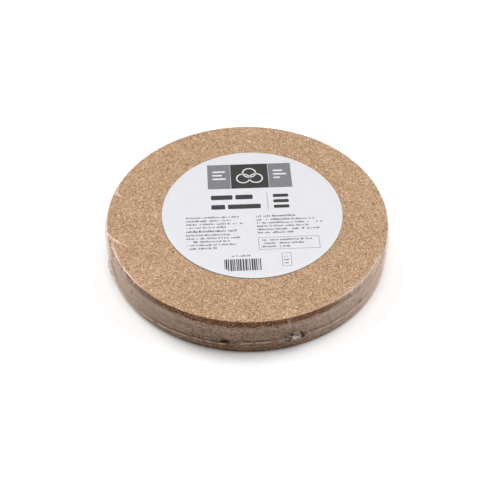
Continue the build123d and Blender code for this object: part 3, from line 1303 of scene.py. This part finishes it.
def draw_pleats(seed):
    """The pleats of one bunch: heading, reach, half width, bend and strength of each."""
    pick = np.random.default_rng(seed)
    pleats = []
    for number in range(pleat_count):
        heading = (number + pick.uniform(0.15, 0.85)) / pleat_count * tau
        heading -= 0.4 * sin(2 * heading)
        reach = np.hypot(bunch_across * cos(heading), bunch_up * sin(heading)) * pick.uniform(0.5, 1.1)
        pleats.append((heading, reach, *[pick.uniform(*limits) for limits in pleat_limits]))
    return pleats


def crest_of(pleats, x, y, share):
    """Height of the highest pleat at places on a bunch, a share of the way out from its middle."""
    crest = np.zeros(bunch_count)
    for heading, reach, half_wide, bend, strength in pleats:
        turned = heading + bend * (1 - share)
        ahead = x * cos(turned) + y * sin(turned)
        beside = y * cos(turned) - x * sin(turned)
        ridge = hump(beside, half_wide) * ease(ahead, 0.2, 1.6) * (1 - ease(ahead, 0.6 * reach, reach))
        crest = np.maximum(crest, ridge * strength)
    return crest


def corner_bunch(azimuth, seed, dark):
    """Points and faces of one bunch, with the milkiness and the painted shade of the slots at each point.
    """
    pleats = draw_pleats(seed)
    direction = np.arange(bunch_count) * tau / bunch_count
    sheets, looks = [], []
    for step in range(1, bunch_rings + 1):
        share = step / bunch_rings
        x = share * bunch_across * np.cos(direction)
        y = share * bunch_up * np.sin(direction)
        places = np.stack([x, np.full(bunch_count, seed * 3.7), y], axis=1)
        crest = crest_of(pleats, x, y, share)
        swirl = np.exp(-(((x + 0.35 * y) / 2.6) ** 2) - (y / 2.5) ** 2)
        crease = np.abs(ripple(places, 2.2, 1.1, 8)) * 2.2
        lumps = swirl * (0.70 + 0.8 * ripple(places, 1.8, 1.2, 9))
        rise = swell_high * (1 - share**2) + pleat_high * crest + lump_high * lumps
        rise = rise + crease_high * crease * (1 - share**2)
        rise = np.maximum(rise if step < bunch_rings else 0 * rise, bunch_edge)
        sheets.append(np.stack([x, y, rise], axis=1))
        slots = ease(-ripple(places, 2.1, 0.95, 12), 0.0, 0.15) * (1 - ease(crest, 0.5, 0.9))
        slots *= hump(share - 0.52, 0.30) * (1 - ease(swirl, 0.5, 0.8))
        fade = 1 - ease(share, 0.75, 1.0)
        patchy = 0.75 + 1.3 * ripple(places, 1.5, 0.9, 14)
        milk = np.clip(0.50 * crest * patchy * (0.3 + 0.7 * fade) + 0.9 * lumps + 0.14 * fade, 0, 1)
        looks.append(np.stack([milk * (1 - slots), slots * dark], axis=1))
    middle = np.array([(0, 0, sheets[0][:, 2].mean())])
    backs = [sheet * (1, 1, 0) for sheet in sheets[::-3]]
    flat, faces = skin([middle, *sheets, *backs, np.zeros((1, 3))])
    looks = np.concatenate([[(0.9, 0)], *looks, *[level * 0.5 for level in looks[::-3]], [(0.4, 0)]])
    turn = np.radians(azimuth) + flat[:, 0] / bunch_stand_off
    height = weld_height(np.degrees(turn)) + bunch_rise + flat[:, 1]
    radius = bunch_stand_off + flat[:, 2]
    points = np.stack([radius * np.cos(turn), radius * np.sin(turn), height], axis=1)
    return points, faces, looks


print("a bunch has", pleat_count, "pleats on", bunch_rings, "rings of", bunch_count, "points")

# %% [markdown]
# Crumpled film is milky on its pleats and clear between them, and small slots open among them, where
# the shaded inside shows. A real opening would need a hole in every pleat, so a slot is painted
# shade, a dark brown layer over the film. The third corner's slots are faint, because its pleats lie
# closed. All four bunches are one piece, since they ride on the same body.

# %% Place the four bunches
def bunch_paint():
    """Crumpled film: milky on its pleats, clear between them, and painted shade in the slots."""
    material, graph = new_material("film_bunch")
    fine, milk = graph.noise(graph.place(), 1 / (0.8 * mm), 3.0), graph.kept("milk")
    crinkle = graph.bump(fine, 0.4, 0.2)
    milky = (milk + (fine - 0.5) * 0.6 * milk.rise(0.0, 0.2)).rise(0.05, 1.0) * 0.60
    shine = {"Roughness": 0.2, "Normal": crinkle}
    white = {"Color": colour(0.76, 0.67, 0.59), "Normal": crinkle}
    pleated = film_layers(graph, 0.03 + 0.6 * slant_of(graph) ** 4, milky, shine, white)
    # Painted shade: a dark brown layer where the shaded inside shows through a slot
    shade = graph.node("ShaderNodeBsdfDiffuse", None, {"Color": colour(0.048, 0.024, 0.012)})
    slotted = {0: graph.kept("slots") * 0.90, 1: pleated, 2: shade}
    graph.surface(graph.node("ShaderNodeMixShader", None, slotted))
    return material


bunch_points, bunch_faces, bunch_looks = [], [], []
for seed, azimuth in enumerate(corner_azimuths):
    points, faces, looks = corner_bunch(azimuth, seed, corner_darkness[seed])
    first = sum(map(len, bunch_points))
    bunch_points.append(points)
    bunch_faces += [[int(corner) + first for corner in face] for face in faces]
    bunch_looks.append(looks)
bunches = new_piece("corner_bunches", np.concatenate(bunch_points), bunch_faces, bunch_paint())
for title, values in zip(("milk", "slots"), np.concatenate(bunch_looks).T):
    store(bunches, title, values)
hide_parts("corner_gathers")
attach(bunches, "lower_wrap")
count_faces(bunches)

# %% [markdown]
# The stack stands on a plain white floor, so wide that no view sees its end. A soft light hangs
# overhead, and four more stand at the left, at the right, and behind the stack on both sides. The two
# strongest are the one behind it at the left and the one at its right, which brighten the film's
# edges there. Each is a sun with a wide disc, because suns light the whole floor evenly, as a lit
# studio sweep does, and a pale world around them fills the shadows.

# %% Light the floor
floor_material, floor_graph = new_material("floor")
floor_shader = floor_graph.node(
    "ShaderNodeBsdfPrincipled",
    None,
    {"Base Color": colour(0.93, 0.93, 0.93), "Roughness": 0.9, "Specular IOR Level": 0.0},
)
floor_graph.surface(floor_shader)
floor_reach = 9000
floor_signs = ((-1, -1), (1, -1), (1, 1), (-1, 1))
floor_corners = [(x * floor_reach, y * floor_reach, 0) for x, y in floor_signs]
floor = new_piece("floor", floor_corners, [(0, 1, 2, 3)], floor_material)

# Each sun: azimuth and elevation, the width of its disc in degrees, and its strength
suns = {
    "overhead_light": (85, 85, 28, 1.16),
    "left_rear_light": (140, 45, 30, 1.55),
    "left_light": (180, 40, 30, 0.38),
    "right_rear_light": (40, 45, 30, 0.62),
    "right_light": (14, 37, 34, 1.40),
}
for name, (azimuth, elevation, wide, strength) in suns.items():
    sun = bpy.data.objects.new(name, bpy.data.lights.new(name, "SUN"))
    sun.data.energy = strength
    sun.data.angle = radians(wide)
    turn, rise = radians(azimuth), radians(elevation)
    towards = Vector((cos(turn) * cos(rise), sin(turn) * cos(rise), sin(rise)))
    sun.rotation_euler = towards.to_track_quat("Z", "Y").to_euler()
    bpy.context.scene.collection.objects.link(sun)

world = bpy.data.worlds.new("studio")
bpy.context.scene.world = world
world.use_nodes = True
backdrop = world.node_tree.nodes["Background"]
backdrop.inputs["Color"].default_value = colour(1, 1, 1)
backdrop.inputs["Strength"].default_value = 0.28
bpy.context.scene.view_settings.view_transform = "Standard"
print("lit by", len(suns), "suns and a pale world")
